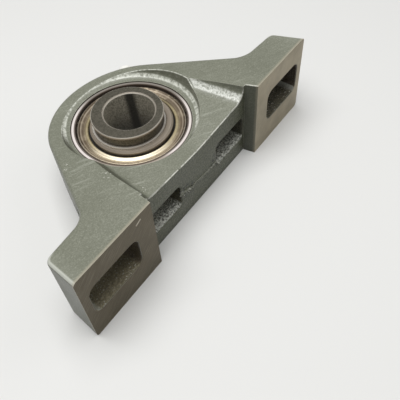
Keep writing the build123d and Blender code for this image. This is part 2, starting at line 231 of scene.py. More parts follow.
# %% Turned rings
def build_turned_rings():
    """Lathe marks: a height and a mask of lines that depend on the distance from the shaft's axis and
    the level along it, so they run in rings."""
    tree, given, result = start_group("turned_rings", {"Pitch": 0.25 * MM}, ["Height", "Lines"])
    x, y, z = place_of(tree)
    along = total(tree, distance_from(tree, x, y), z)
    line = add_node(tree, "ShaderNodeCombineXYZ", {"X": maths(tree, "DIVIDE", along, given["Pitch"])})
    fine = noise(tree, 1.0, detail=2.0, point=line.outputs[0])
    broad = noise(tree, 0.12, detail=2.0, roughness=0.5, point=line.outputs[0])
    tree.links.new(fine, result["Height"])
    tree.links.new(ramp(tree, broad, 0.42, 0.58), result["Lines"])
    return tree


turned_rings = build_turned_rings()
print("group:", turned_rings.name)

# %% Painted shade and dust in corners
def build_corner_shade_and_dirt():
    """Mask of painted shade in corners, where little light gets, with dust and old oil there; thinner in
    patches.
    """
    tree, given, result = start_group("corner_shade_and_dirt", {"Reach": 4 * MM, "Amount": 1.0}, ["Mask"])
    shade = add_node(tree, "ShaderNodeAmbientOcclusion", {"Distance": given["Reach"]}, samples=6)
    corner = ramp(tree, shade.outputs["AO"], 0.85, 0.25)
    patches = total(tree, 0.55, product(tree, noise(tree, 260.0), 0.9))
    tree.links.new(product(tree, corner, patches, given["Amount"]), result["Mask"])
    return tree


corner_shade_and_dirt = build_corner_shade_and_dirt()
print("group:", corner_shade_and_dirt.name)

# %% [markdown]
# ## Putting a finish on a piece
#
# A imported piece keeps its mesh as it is, and takes a material in its slots. Every material is one
# Principled shader: plain numbers go straight on its sockets, and only what varies is linked. Colours
# are written as seen on screen, with red, green and blue from 0 to 255, and laid over one another
# through masks, as coats of paint are.

# %% Helpers that start a material, fill it and assign it
def start_material(name, **plain):
    """A material with one Principled shader, its plain values set. Gives material, tree and shader."""
    material = bpy.data.materials.new(name)
    material.use_nodes = True
    shader = material.node_tree.nodes["Principled BSDF"]
    for socket, value in plain.items():
        shader.inputs[socket].default_value = value
    return material, material.node_tree, shader


def effect(tree, group, **inputs):
    """Places a node group and sets its inputs. Gives its outputs."""
    node = tree.nodes.new("ShaderNodeGroup")
    node.node_tree = group
    for socket, value in inputs.items():
        node.inputs[socket].default_value = value
    return node.outputs


def bump(tree, shader, height, strength, distance):
    """Feeds a height into the shader's normal: distance is the height of a full step, in metres."""
    inputs = {"Height": height, "Strength": strength, "Distance": distance}
    made = add_node(tree, "ShaderNodeBump", inputs)
    tree.links.new(made.outputs[0], shader.inputs["Normal"])


def dress(material, *names):
    """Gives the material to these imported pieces."""
    for name in names:
        for place in range(len(nodes[name].material_slots)):
            nodes[name].material_slots[place].material = material
    print(material.name, "on", len(names), "pieces")


print("packed pieces to dress:", len(nodes))

# %% Helpers for colours
def srgb(red, green, blue):
    """A colour as seen on screen, 0 to 255, turned into the linear light that shaders use."""
    def linear(c):
        c = c / 255
        return c / 12.92 if c <= 0.04045 else ((c + 0.055) / 1.055) ** 2.4
    return (linear(red), linear(green), linear(blue), 1.0)


def blend(tree, mask, first, second):
    """first where the mask is 0 and second where it is 1. Each is a socket or a screen colour."""
    tones = [tone if isinstance(tone, bpy.types.NodeSocket) else srgb(*tone) for tone in (first, second)]
    inputs = {0: mask, 6: tones[0], 7: tones[1]}
    return add_node(tree, "ShaderNodeMix", inputs, data_type="RGBA").outputs[2]


def lay(tree, colour, *layers):
    """Lays tones over a colour, one after another. Each layer is a tone, and then the masks and
    numbers whose product says how strongly it covers."""
    for tone, *masks in layers:
        colour = blend(tree, product(tree, *masks), colour, tone)
    return colour


def mottled(tree, scale, low, high, dark, light, roughness=0.7):
    """Two tones mixed by noise: dark where it is below low and light where it is above high."""
    return blend(tree, ramp(tree, noise(tree, scale, roughness=roughness), low, high), dark, light)


print("paint in linear light:", [round(c, 3) for c in srgb(132, 134, 120)])

# %% [markdown]
# ## The casting
#
# The housing wears three skins. Grey-green paint covers the casting, thin enough for the sand grain to
# show, with faint strokes where it was brushed on. The two milled faces of the feet are bare iron,
# brownish with age, and scratched aslant. Where sand packed badly, in the slots, the pockets and the
# coves, the skin is coarse and shiny. Light and shade are also painted on: a highlight in the far coves
# and shade in the near ones, light on the pocket floors and the ends of the feet, glints in the slots,
# and shade on the web's front and the feet's inner ends. One material holds all three skins, and masks
# made from place and slope choose between them.

# %% Helpers for masks
def largest(tree, *values):
    """The largest of the values."""
    return chain(tree, "MAXIMUM", values)


def band(tree, value, low, high, soft):
    """1 where the value lies between low and high, falling to 0 over the soft distance outside."""
    return product(tree, ramp(tree, value, low - soft, low), ramp(tree, value, high + soft, high))


def vary(tree, middle, wave, spread):
    """A value that swings about its middle as a wave goes from 0 to 1."""
    return total(tree, middle, product(tree, maths(tree, "SUBTRACT", wave, 0.5), spread))


def slope_of(tree):
    """The x, y and z of the surface's normal."""
    normal = add_node(tree, "ShaderNodeNewGeometry").outputs["Normal"]
    split = add_node(tree, "ShaderNodeSeparateXYZ", {0: normal})
    return [split.outputs[axis] for axis in "XYZ"]


def distance_along(tree, x, y, angle):
    """How far the point lies in one direction of a plane: x cos(angle) + y sin(angle)."""
    return total(tree, product(tree, x, math.cos(angle)), product(tree, y, math.sin(angle)))


print("seen from above, the camera looks", round(math.degrees(AWAY)), "degrees from X towards Y")

# %% Masks for the casting
def feet_masks(tree, place, slope):
    """The milled faces, the slots through the feet, the far end of each slot, the rounded outer end of the
    feet with its painted highlight, their inner end in painted shade, and the worn line along the top of the
    right foot's inner end."""
    (x, y, z), (nx, ny, nz) = place, slope
    side = maths(tree, "ABSOLUTE", x)
    milled = product(tree, ramp(tree, y, MILLED_LEVEL + 0.08 * MM, MILLED_LEVEL + 0.03 * MM),
                     ramp(tree, ny, -0.90, -0.98))
    off_slot = maths(tree, "ABSOLUTE", maths(tree, "SUBTRACT", z, SLOT_LEVEL))
    in_slot = product(tree, band(tree, side, *SLOT_ENDS, 0.3 * MM),
                      ramp(tree, off_slot, SLOT_HALF_WIDTH + 0.2 * MM, SLOT_HALF_WIDTH),
                      inverse(tree, milled), ramp(tree, y, SLOT_BACK + 0.5 * MM, SLOT_BACK - 0.5 * MM))
    slot_end = product(tree, in_slot, ramp(tree, nx, -0.3, -0.8))
    # Painted highlight along the rounded outer end of the feet
    foot_end_highlight = product(tree, ramp(tree, side, *FOOT_ROUNDING), band(tree, nz, 0.50, 0.90, 0.10))
    # Painted shade on the inner ends of the feet
    inner_wall = product(tree, ramp(tree, side, FOOT_INNER + 2.3 * MM, FOOT_INNER + 1.3 * MM),
                         inverse(tree, milled), ramp(tree, y, WEB_FRONT - 0.1 * MM, WEB_FRONT - 0.3 * MM),
                         ramp(tree, nz, 0.5, 0.3))
    depth = maths(tree, "SUBTRACT", y, MILLED_LEVEL)
    from_end = total(tree, maths(tree, "SUBTRACT", x, FOOT_INNER), product(tree, depth, math.tan(FOOT_LEAN)))
    inner_rim = product(tree, ramp(tree, x, 0.0, 20.0 * MM), ramp(tree, from_end, 0.9 * MM, 0.4 * MM),
                        ramp(tree, y, WEB_FRONT + 0.3 * MM, WEB_FRONT - 0.1 * MM),
                        ramp(tree, nz, 0.5, 0.7))
    return dict(milled=milled, in_slot=in_slot, slot_end=slot_end, foot_end_highlight=foot_end_highlight, depth=depth,
                inner_wall=inner_wall, inner_rim=inner_rim)


def web_masks(tree, place, slope):
    """The pockets and their floors, the far coves round the dish and beside the steps, which get a painted
    highlight, the near coves that lie in painted shade, and the worn front edge."""
    (x, y, z), (_, ny, nz) = place, slope
    side = maths(tree, "ABSOLUTE", x)
    radius = distance_from(tree, x, y, DISH_CENTRE, DISH_CENTRE)
    in_pocket = product(tree, band(tree, side, *POCKET_ENDS, 0.3 * MM),
                        band(tree, y, WEB_FRONT + 0.3 * MM, WEB_FRONT + POCKET_REACH, 0.3 * MM),
                        band(tree, z, POCKET_LEVEL - POCKET_HALF_HEIGHT,
                             POCKET_LEVEL + POCKET_HALF_HEIGHT, 0.2 * MM))
    # The pocket floors, where painted light goes
    pocket_floor_light = product(tree, in_pocket, ramp(tree, nz, 0.15, 0.5))
    round_dish = band(tree, radius, *DISH_COVE, 0.2 * MM)
    beside_step = product(tree, band(tree, side, *STEP_COVES, 0.5 * MM),
                          ramp(tree, radius, DISH_COVE[1], DISH_COVE[1] + 0.5 * MM),
                          band(tree, y, WEB_FRONT + 0.3 * MM, -3.0 * MM, 0.3 * MM))
    all_coves = product(tree, largest(tree, round_dish, beside_step),
                        ramp(tree, z, DISH_FLOOR - 0.25 * MM, DISH_FLOOR - 0.05 * MM))
    far_side = ramp(tree, distance_along(tree, x, y, AWAY), -14.0 * MM, -3.0 * MM)
    leaning = product(tree, ramp(tree, nz, 0.94, 0.84), ramp(tree, nz, 0.35, 0.55))
    coves = product(tree, all_coves, leaning, far_side)
    step_cove = product(tree, coves, beside_step)
    dish_cove = maths(tree, "SUBTRACT", coves, step_cove)
    shaded = product(tree, all_coves, ramp(tree, nz, 0.97, 0.80), inverse(tree, far_side))
    front_edge = product(tree, band(tree, ny, -0.88, -0.40, 0.06),
                         band(tree, side, 0.0, FOOT_INNER - 0.2 * MM, 0.2 * MM),
                         band(tree, y, WEB_FRONT, WEB_FRONT + 0.55 * MM, 0.15 * MM),
                         ramp(tree, z, 6.0 * MM, 8.0 * MM))
    return dict(in_pocket=in_pocket, pocket_floor_light=pocket_floor_light, coves=coves, step_cove=step_cove,
                dish_cove=dish_cove, shaded=shaded, front_edge=front_edge)


def casting_masks(tree):
    """All the masks by name, each from 0 to 1, and the depth behind the milled faces in metres."""
    place, slope = place_of(tree), slope_of(tree)
    mask = {**feet_masks(tree, place, slope), **web_masks(tree, place, slope)}
    mask["holes"] = largest(tree, mask["in_slot"], mask["in_pocket"])
    mask["right_side"] = ramp(tree, place[0], -20.0 * MM, 40.0 * MM)
    mask["front"] = product(tree, ramp(tree, slope[1], -0.6, -0.9),
                            ramp(tree, mask["depth"], 5.0 * MM, 5.2 * MM))
    return mask


print("milled faces at y =", round(MILLED_LEVEL / MM, 1), "mm")

# %% Marks on the casting
BRUSH_ANGLE = math.radians(-33)
BLOBS_ALONG_STROKE, BLOBS_ACROSS_STROKE = 60.0, 620.0       # per metre
MILL_ANGLE = math.radians(40)
BLOBS_ALONG_MARK, BLOBS_ACROSS_MARK = 110.0, 2600.0         # per metre
# Places in millimetres: (x, y, z), and (x, z) for the scratch on the left milled face
CHIPPED = [(-28.6, -30.4, 11.9), (-27.2, -27.6, 11.8), (28.4, -22.4, 12.4), (-34.9, 1.5, 13.0),
           (-30.5, -16.0, 15.5)]
# Dark spots round the lumps of the ridge on the web's front
DARK_SPOTS = [(-10.5, -33.3, -3.2), (-7.0, -33.3, -5.0), (14.0, -33.3, -6.5), (11.0, -33.3, -5.0)]
FLAKES = [(-12.0, -33.9, -3.4), (-10.2, -34.0, -4.6), (-8.0, -33.9, -5.3), (12.6, -33.9, -7.8)]
SCRATCH = [(-41.7, 15.8), (-39.4, 16.8)]


def brush_strokes(tree):
    """Noise drawn out in one direction of the XY plane."""
    turn = {"Vector": object_point(tree), "Rotation": (0, 0, -BRUSH_ANGLE)}
    turned = add_node(tree, "ShaderNodeMapping", turn)
    stretch = (BLOBS_ALONG_STROKE, BLOBS_ACROSS_STROKE, BLOBS_ACROSS_STROKE)
    drawn = add_node(tree, "ShaderNodeVectorMath", {0: turned.outputs[0], 1: stretch}, operation="MULTIPLY")
    return noise(tree, 1.0, point=drawn.outputs[0])


def mill_marks(tree):
    """Fine slanting scratches on a face that looks along Y."""
    x, _, z = place_of(tree)
    across = product(tree, distance_along(tree, z, x, -MILL_ANGLE), BLOBS_ACROSS_MARK)
    along = product(tree, distance_along(tree, x, z, MILL_ANGLE), BLOBS_ALONG_MARK)
    line = add_node(tree, "ShaderNodeCombineXYZ", {"X": across, "Y": along})
    return noise(tree, 1.0, point=line.outputs[0])


def chip_mask(tree, places, reach, threshold):
    """Small flakes near a few places, where noise rises over the threshold."""
    near = []
    for place in places:
        point = tuple(c * MM for c in place)
        away = add_node(tree, "ShaderNodeVectorMath", {0: object_point(tree), 1: point}, operation="DISTANCE")
        near.append(ramp(tree, away.outputs["Value"], reach, 0.4 * reach))
    flaked = ramp(tree, noise(tree, 900.0, detail=2.0), threshold, threshold + 0.06)
    return product(tree, total(tree, *near), flaked)


def scratch_mask(tree, start, end, width):
    """1 along a straight scratch between two points of a milled face."""
    x, _, z = place_of(tree)
    dx = maths(tree, "SUBTRACT", x, start[0] * MM)
    dz = maths(tree, "SUBTRACT", z, start[1] * MM)
    angle = math.atan2(end[1] - start[1], end[0] - start[0])
    along = distance_along(tree, dx, dz, angle)
    off = maths(tree, "ABSOLUTE", distance_along(tree, dx, dz, angle - math.pi / 2))
    return product(tree, band(tree, along, 0.0, math.dist(start, end) * MM, 0.3 * MM),
                   ramp(tree, off, width, 0.4 * width))


print("chips, dark_spots, flakes:", len(CHIPPED), len(DARK_SPOTS), len(FLAKES))

# %% The casting's colours
def painted_colour(tree, mask, grain, cloud, fine, strokes):
    """Grey-green paint: cloudy, speckled, brushed, dark in its pits, and rougher and painted darker, as
    shade, on faces that look along -Y, such as the web's front.
    """
    few = ramp(tree, noise(tree, 60.0, detail=2.0, roughness=0.5), 0.44, 0.58)
    # Rough paint, darkened as painted shade, on the faces that look along -Y
    rough_shaded_front = mottled(tree, 1200.0, 0.38, 0.62, (78, 81, 62), (126, 129, 106))
    return lay(tree, blend(tree, cloud, (124, 126, 112), (134, 136, 122)),
               ((108, 110, 95), ramp(tree, fine, 0.58, 0.38), 0.7),
               ((152, 154, 140), ramp(tree, fine, 0.56, 0.68), 0.6),
               ((168, 170, 158), ramp(tree, strokes, 0.56, 0.68), few, 0.38),
               ((108, 110, 96), ramp(tree, strokes, 0.44, 0.34), 0.25),
               ((88, 90, 78), grain["Pits"], 0.5),
               (rough_shaded_front, mask["front"], 0.85))


def cast_skin_colour(tree, mask):
    """Bare coarse skin: brown in the slots, darker to the right, greener in the pockets, with painted glints
    on its grains and painted light on the floor of each pocket."""
    # Painted glints on bright grains of the skin
    skin_glints = ramp(tree, noise(tree, 1500.0, detail=2.0), 0.63, 0.68)
    # Painted light on the pocket floors
    pocket_floor_light = mottled(tree, 1500.0, 0.40, 0.58, (112, 113, 103), (228, 229, 219))
    return lay(tree, mottled(tree, 1300.0, 0.35, 0.65, (62, 59, 46), (132, 126, 102)),
               ((146, 136, 108), inverse(tree, mask["right_side"]), 0.45),
               ((60, 57, 47), mask["right_side"], 0.45),
               ((196, 194, 182), skin_glints),
               ((62, 46, 36), mask["slot_end"], 0.6),
               ((74, 77, 64), mask["in_pocket"], 0.5),
               (pocket_floor_light, mask["pocket_floor_light"]))


def milled_colour(tree, mask, marks):
    """Bare milled iron, lighter to the right, where the light grazes it, with one long scratch."""
    return lay(tree, blend(tree, mask["right_side"], (92, 81, 54), (188, 176, 148)),
               ((128, 118, 98), ramp(tree, noise(tree, 90.0), 0.3, 0.7), 0.35),
               ((158, 148, 128), ramp(tree, marks, 0.5, 0.7), 0.35),
               ((76, 68, 54), ramp(tree, marks, 0.45, 0.3), 0.35),
               ((214, 206, 188), scratch_mask(tree, *SCRATCH, 0.5 * MM)))


def casting_colour(tree, mask, paint, skin, iron, fine):
    """Paint, skin and iron in their places, with painted highlights and shade in the coves, painted shade
    with dust in corners, worn edges, flakes, dark spots, and painted highlights and shade on the feet laid
    over them.
    """
    wear = effect(tree, edge_wear, Width=0.5 * MM, Patchiness=0.6)
    shade_and_dirt = effect(tree, corner_shade_and_dirt, Reach=5 * MM, Amount=0.9)
    # Tones of the painted highlight in the far coves
    dish_cove_highlight = mottled(tree, 800.0, 0.32, 0.60, (146, 148, 135), (216, 218, 207), roughness=0.65)
    step_cove_highlight = mottled(tree, 900.0, 0.32, 0.60, (158, 160, 148), (230, 232, 224))
    ragged = ramp(tree, noise(tree, 620.0, detail=4.0, roughness=0.7), 0.34, 0.52)
    # A worn band along the edges of the milled faces, lightened as a painted highlight
    milled_edge_wear_and_highlight = product(tree, inverse(tree, mask["milled"]), inverse(tree, mask["holes"]),
                            ramp(tree, mask["depth"], 1.4 * MM, 0.30 * MM))
    return lay(tree, blend(tree, mask["holes"], paint, skin),
               # Painted highlights on the far coves round the dish and beside the steps
               (dish_cove_highlight, mask["dish_cove"]),
               (step_cove_highlight, mask["step_cove"]),
               # Painted shade, with dust, in the corners
               ((44, 44, 36), shade_and_dirt["Mask"], 0.7, inverse(tree, mask["pocket_floor_light"])),
               ((184, 184, 170), wear["Mask"], 0.6),
               ((222, 222, 212), mask["front_edge"], ragged),
               ((66, 68, 55), mask["shaded"], 0.75),
               # Painted highlight on the ends of the feet
               ((212, 214, 204), mask["foot_end_highlight"], 0.75),
               ((206, 206, 196), chip_mask(tree, CHIPPED, 2.6 * MM, 0.60)),
               # Dark spots round the lumps of the ridge
               ((34, 36, 28), chip_mask(tree, DARK_SPOTS, 4.8 * MM, 0.50)),
               ((216, 216, 204), chip_mask(tree, FLAKES, 1.9 * MM, 0.50)),
               ((222, 222, 212), mask["inner_rim"], ramp(tree, fine, 0.36, 0.50), 0.8),
               # Painted shade on the inner ends of the feet
               ((66, 68, 56), mask["inner_wall"], 0.4),
               # Worn band beside the milled faces, lightened as a painted highlight
               ((180, 172, 152), milled_edge_wear_and_highlight, 0.5),
               (iron, mask["milled"]))


print("colours of paint, cast skin and milled iron ready")

# %% The casting's material
def make_casting():
    """Paint, bare milled iron and rough cast skin, chosen by the masks above."""
    material, tree, shader = start_material("painted_casting")
    mask = casting_masks(tree)
    grain = effect(tree, cast_grain, Fineness=1500.0, Waves=300.0)
    coarse = effect(tree, cast_grain, Fineness=1300.0, Waves=650.0)
    strokes, marks = brush_strokes(tree), mill_marks(tree)
    cloud = ramp(tree, noise(tree, 45.0), 0.3, 0.7)
    fine = noise(tree, 1800.0, roughness=0.7)

    paint = painted_colour(tree, mask, grain, cloud, fine, strokes)
    skin = cast_skin_colour(tree, mask)
    iron = milled_colour(tree, mask, marks)
    tree.links.new(casting_colour(tree, mask, paint, skin, iron, fine), shader.inputs["Base Color"])

    gloss = maths(tree, "SUBTRACT", 0.42, product(tree, mask["holes"], 0.06))
    gloss = maths(tree, "SUBTRACT", gloss, product(tree, mask["coves"], 0.14))
    tree.links.new(vary(tree, gloss, cloud, 0.10), shader.inputs["Roughness"])
    tree.links.new(product(tree, mask["milled"], 0.35), shader.inputs["Metallic"])

    painted = inverse(tree, mask["milled"])
    rough = largest(tree, mask["holes"], product(tree, mask["step_cove"], 0.4),
                    product(tree, mask["front"], 0.35))
    height = total(tree, product(tree, grain["Height"], painted, 0.9), product(tree, strokes, painted, 0.25),
                   product(tree, coarse["Height"], rough, 4.0), product(tree, marks, mask["milled"], 0.12))
    bump(tree, shader, height, strength=0.7, distance=0.32 * MM)
    return material


casting = make_casting()
dress(casting, "housing")

# %% [markdown]
# ## The parting line
#
# Where the two halves of the mould met, a little iron ran between them. It left a ridge along the
# front of the web, with rough lumps at its ends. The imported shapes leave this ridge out, so it is
# worked out here: a profile carried along a path, as two arrays of numbers.

# %% The ridge on the front of the web
FLASH_PATH = np.array([(-12.4, -3.4), (-11.0, -4.4), (-9.2, -4.9), (-7.1, -5.5), (-3.8, -5.7), (0.2, -6.1),
                       (6.0, -6.8), (9.4, -7.0), (12.0, -7.5), (13.2, -9.4)]) * MM


def ripple(s, count, seed):
    """A wavy line of mean 0 and size about 1: sines of rising pitch and random phase, added up."""
    pitch = np.arange(1, count + 1)[:, None]
    phase = np.random.default_rng(seed).uniform(0, 2 * np.pi, (count, 1))
    return (np.sin(2 * np.pi * pitch * s[None, :] + phase) / np.sqrt(pitch)).sum(axis=0) / 1.5


def parting_ridge(stations=420, columns=13):
    """The ridge's surface. s runs from 0 to 1 along the path and u from -1 to 1 across it.
    Lumps are b(s) = exp(-(s/0.2)^2) + exp(-((1 - s)/0.14)^2).
    The half width is w(s) = 0.45 mm + 0.6 mm b(s), and the height is
    h(s, u) = (0.45 mm + 0.7 mm b(s)) (1 + 0.45 ripple) (1 - u^2)^1.5, faded to 0 at both ends.
    A point stands at path(s) + u w(s) across, h in front of the web, its rim a little inside it."""
    s = np.linspace(0, 1, stations)
    u = np.linspace(-1, 1, columns)
    steps = np.linalg.norm(np.diff(FLASH_PATH, axis=0), axis=1)
    way = np.concatenate([[0], np.cumsum(steps)]) / steps.sum()
    x = np.interp(s, way, FLASH_PATH[:, 0])
    z = np.interp(s, way, FLASH_PATH[:, 1]) + 0.16 * MM * ripple(s, 24, 3)
    heading = np.stack([np.gradient(x), np.gradient(z)])
    heading = heading / np.linalg.norm(heading, axis=0)
    lumps = np.exp(-(s / 0.2) ** 2) + np.exp(-((1 - s) / 0.14) ** 2)
    width = (0.45 + 0.6 * lumps) * MM
    ends = np.clip(np.minimum(s, 1 - s) / 0.03, 0, 1)
    height = (0.45 + 0.7 * lumps) * MM * np.clip(1 + 0.45 * ripple(s, 60, 5), 0.15, 2.2) * ends
    rough = 1 + 0.35 * np.sin(9 * u[None, :] + 4 * ripple(s, 90, 8)[:, None]) * lumps[:, None]
    lift = height[:, None] * (1 - u[None, :] ** 2) ** 1.5 * rough
    points = np.empty((stations, columns, 3))
    points[..., 0] = x[:, None] - u[None, :] * (width * heading[1])[:, None]
    points[..., 1] = WEB_FRONT + 0.05 * MM - lift
    points[..., 2] = z[:, None] + u[None, :] * (width * heading[0])[:, None]
    return points


def tube_faces(stations, columns):
    """Quads between neighbours on the grid, closed across the back from the last column to the first."""
    i = np.arange(stations - 1)[:, None]
    j = np.arange(columns)[None, :]
    k = (j + 1) % columns
    corners = [i * columns + j, (i + 1) * columns + j, (i + 1) * columns + k, i * columns + k]
    return np.stack(corners, axis=-1).reshape(-1, 4)


def piece_from_grid(name, points, material):
    """An object at the origin whose mesh is the grid of points, smooth and in one material."""
    faces = tube_faces(points.shape[0], points.shape[1])
    mesh = bpy.data.meshes.new(name)
    mesh.vertices.add(points.shape[0] * points.shape[1])
    mesh.vertices.foreach_set("co", points.ravel())
    mesh.loops.add(faces.size)
    mesh.loops.foreach_set("vertex_index", faces.ravel())
    mesh.polygons.add(len(faces))
    mesh.polygons.foreach_set("loop_start", np.arange(0, faces.size, 4))
    mesh.polygons.foreach_set("use_smooth", np.ones(len(faces), dtype=bool))
    mesh.update(calc_edges=True)
    mesh.validate()
    mesh.materials.append(material)
    piece = bpy.data.objects.new(name, mesh)
    bpy.context.scene.collection.objects.link(piece)
    return piece


ridge = piece_from_grid("parting_ridge", parting_ridge(), casting)
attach(ridge, "housing")
print("ridge:", len(ridge.data.polygons), "faces")

# %% [markdown]
# ## The insert's steels
#
# The outer ring is ground bright. The shrouds are pressed from sheet and passivated a warm yellow.
# The balls and the cage stay inside, where only a cut-open view shows them.

# %% Steel finishes
def make_steel(name, dark, light, roughness, depth=0.02 * MM, shade_and_dirt_amount=0.6):
    """Turned or polished steel: two tones in rings, lathe marks as bump, and painted shade with dust in its
    corners.
    """
    material, tree, shader = start_material(name, Metallic=1.0)
    rings = effect(tree, turned_rings, Pitch=0.25 * MM)
    shade_and_dirt = effect(tree, corner_shade_and_dirt, Reach=1.6 * MM, Amount=shade_and_dirt_amount)
    # The dark tone in the corners is painted shade, with dust
    colour = lay(tree, blend(tree, rings["Lines"], dark, light), ((34, 30, 25), shade_and_dirt["Mask"]))
    tree.links.new(colour, shader.inputs["Base Color"])
    tree.links.new(vary(tree, roughness, noise(tree, 300.0), 0.2), shader.inputs["Roughness"])
    bump(tree, shader, rings["Height"], strength=0.4, distance=depth)
    return material


RING_FACE = (23.3 * MM, 24.5 * MM)      # radii of the flat between its two chamfers


def make_ring_steel():
    """Ground ring face: pinkish white, with painted reflections, greyer over the sector where it mirrors the
    dark end of the room and browner on the near side; brown along its two edges."""
    material, tree, shader = start_material("ground_ring_steel", Metallic=0.3, Roughness=0.32)
    x, y, _ = place_of(tree)
    along, radius = distance_along(tree, x, y, AWAY), distance_from(tree, x, y)
    rings = effect(tree, turned_rings, Pitch=0.3 * MM)
    shade_and_dirt = effect(tree, corner_shade_and_dirt, Reach=1.2 * MM, Amount=0.7)
    edges = largest(tree, ramp(tree, radius, RING_FACE[1] - 0.25 * MM, RING_FACE[1] - 0.05 * MM),
                    ramp(tree, radius, RING_FACE[0] + 0.3 * MM, RING_FACE[0]))
    colour = lay(tree, blend(tree, rings["Lines"], (244, 232, 226), (255, 248, 244)),
                 # Painted reflections: greyer on the far sector, browner on the near side
                 ((128, 122, 112), ramp(tree, along, 6.0 * MM, 17.0 * MM), 0.85),
                 ((160, 148, 130), ramp(tree, along, -17.0 * MM, -21.0 * MM), 0.8),
                 ((84, 70, 60), edges, 0.85),
                 # Painted shade, with dust, in the corners
                 ((40, 34, 28), shade_and_dirt["Mask"]))
    tree.links.new(colour, shader.inputs["Base Color"])
    bump(tree, shader, rings["Height"], strength=0.4, distance=0.01 * MM)
    return material


# Each fold's radius in millimetres, and its tone: the passivation's gold with the light and shade that the
# fold reflects, painted in
SHROUD_REFLECTION_TONES = [(17.5, (120, 106, 80)), (17.9, (186, 172, 134)), (18.9, (196, 182, 146)),
                (19.2, (150, 136, 114)), (20.5, (136, 121, 103)), (20.75, (190, 176, 156)),
                (21.05, (184, 170, 150)), (21.2, (96, 82, 66)), (21.75, (104, 90, 74)),
                (21.9, (206, 196, 180)), (22.25, (200, 188, 170)), (22.4, (70, 58, 48)),
                (22.9, (60, 50, 42))]


def make_shroud_steel():
    """Pressed sheet, passivated a dull gold, with painted reflections: its folds as light and dark rings, a
    highlight on the near side and shade on the far side.
    """
    material, tree, shader = start_material("passivated_shroud", Metallic=0.6)
    x, y, _ = place_of(tree)
    along, radius = distance_along(tree, x, y, AWAY), distance_from(tree, x, y)
    folds = [(tone, ramp(tree, radius, inner * MM, outer * MM))
             for (inner, _), (outer, tone) in zip(SHROUD_REFLECTION_TONES, SHROUD_REFLECTION_TONES[1:])]
    smear = noise(tree, 300.0)
    shade_and_dirt = effect(tree, corner_shade_and_dirt, Reach=1.2 * MM, Amount=0.8)
    near_side_highlight = ramp(tree, along, -8.0 * MM, -17.0 * MM)
    colour = lay(tree, SHROUD_REFLECTION_TONES[0][1], *folds,
                 # Painted highlights on the near side
                 ((206, 190, 164), near_side_highlight, ramp(tree, radius, 20.4 * MM, 20.7 * MM), 0.7),
                 ((240, 229, 204), near_side_highlight, band(tree, radius, 17.9 * MM, 20.2 * MM, 0.3 * MM), 0.85),
                 # Painted shade on the far side
                 ((88, 78, 64), ramp(tree, along, 6.0 * MM, 14.0 * MM), 0.55),
                 ((226, 212, 184), ramp(tree, smear, 0.45, 0.7), 0.3),
                 # Painted shade, with dust, in the corners
                 ((40, 33, 26), shade_and_dirt["Mask"]))
    tree.links.new(colour, shader.inputs["Base Color"])
    tree.links.new(vary(tree, 0.44, smear, 0.25), shader.inputs["Roughness"])
    bump(tree, shader, smear, strength=0.3, distance=0.03 * MM)
    return material


dress(make_ring_steel(), "outer_ring")
dress(make_shroud_steel(), "shroud_upper", "shroud_lower")
ball_steel = make_steel("ball_steel", (210, 210, 212), (222, 222, 224), roughness=0.16,
                        depth=0.002 * MM, shade_and_dirt_amount=0.1)
cage_steel = make_steel("cage_steel", (150, 148, 142), (176, 173, 166), roughness=0.38, shade_and_dirt_amount=0.3)
zinc = make_steel("zinc_fitting", (178, 176, 170), (204, 202, 196), roughness=0.34, shade_and_dirt_amount=0.4)
dress(ball_steel, *[name for name in nodes if name.startswith("ball_")])
dress(cage_steel, "cage_upper", "cage_lower", "cage_rivets")
dress(zinc, "grease_fitting")

# %% [markdown]
# ## The inner ring
#
# The inner ring has more to show. The cam's top is matt and even, as hardened steel is, and its two
# rims catch the light as painted highlights. The neck under it is painted dark, as shade, with a painted
# glint at its foot. The shoulder is turned in fine rings. The bore was ground; one side of it has a dark
# band along its length, and it is painted darker towards the bottom, as shade.

# %% The inner ring's material
CAM_OFFSET = 0.95 * MM      # of the cam's axis from the shaft's, in the direction of CAM_ANGLE
CAM_ANGLE = math.radians(160)
CAM_RADIUS = 14.65 * MM
CAM_TOP = 14.0 * MM         # z of the cam's top, of the neck's upper end and of the shoulder
CAM_RIM = 12.7 * MM
SHOULDER = 8.0 * MM
BORE_RADIUS = 10.32 * MM
BAND_FROM, BAND_TO = math.radians(33), math.radians(42)
BAND_LEAN = 5.0           # radians per metre along the bore


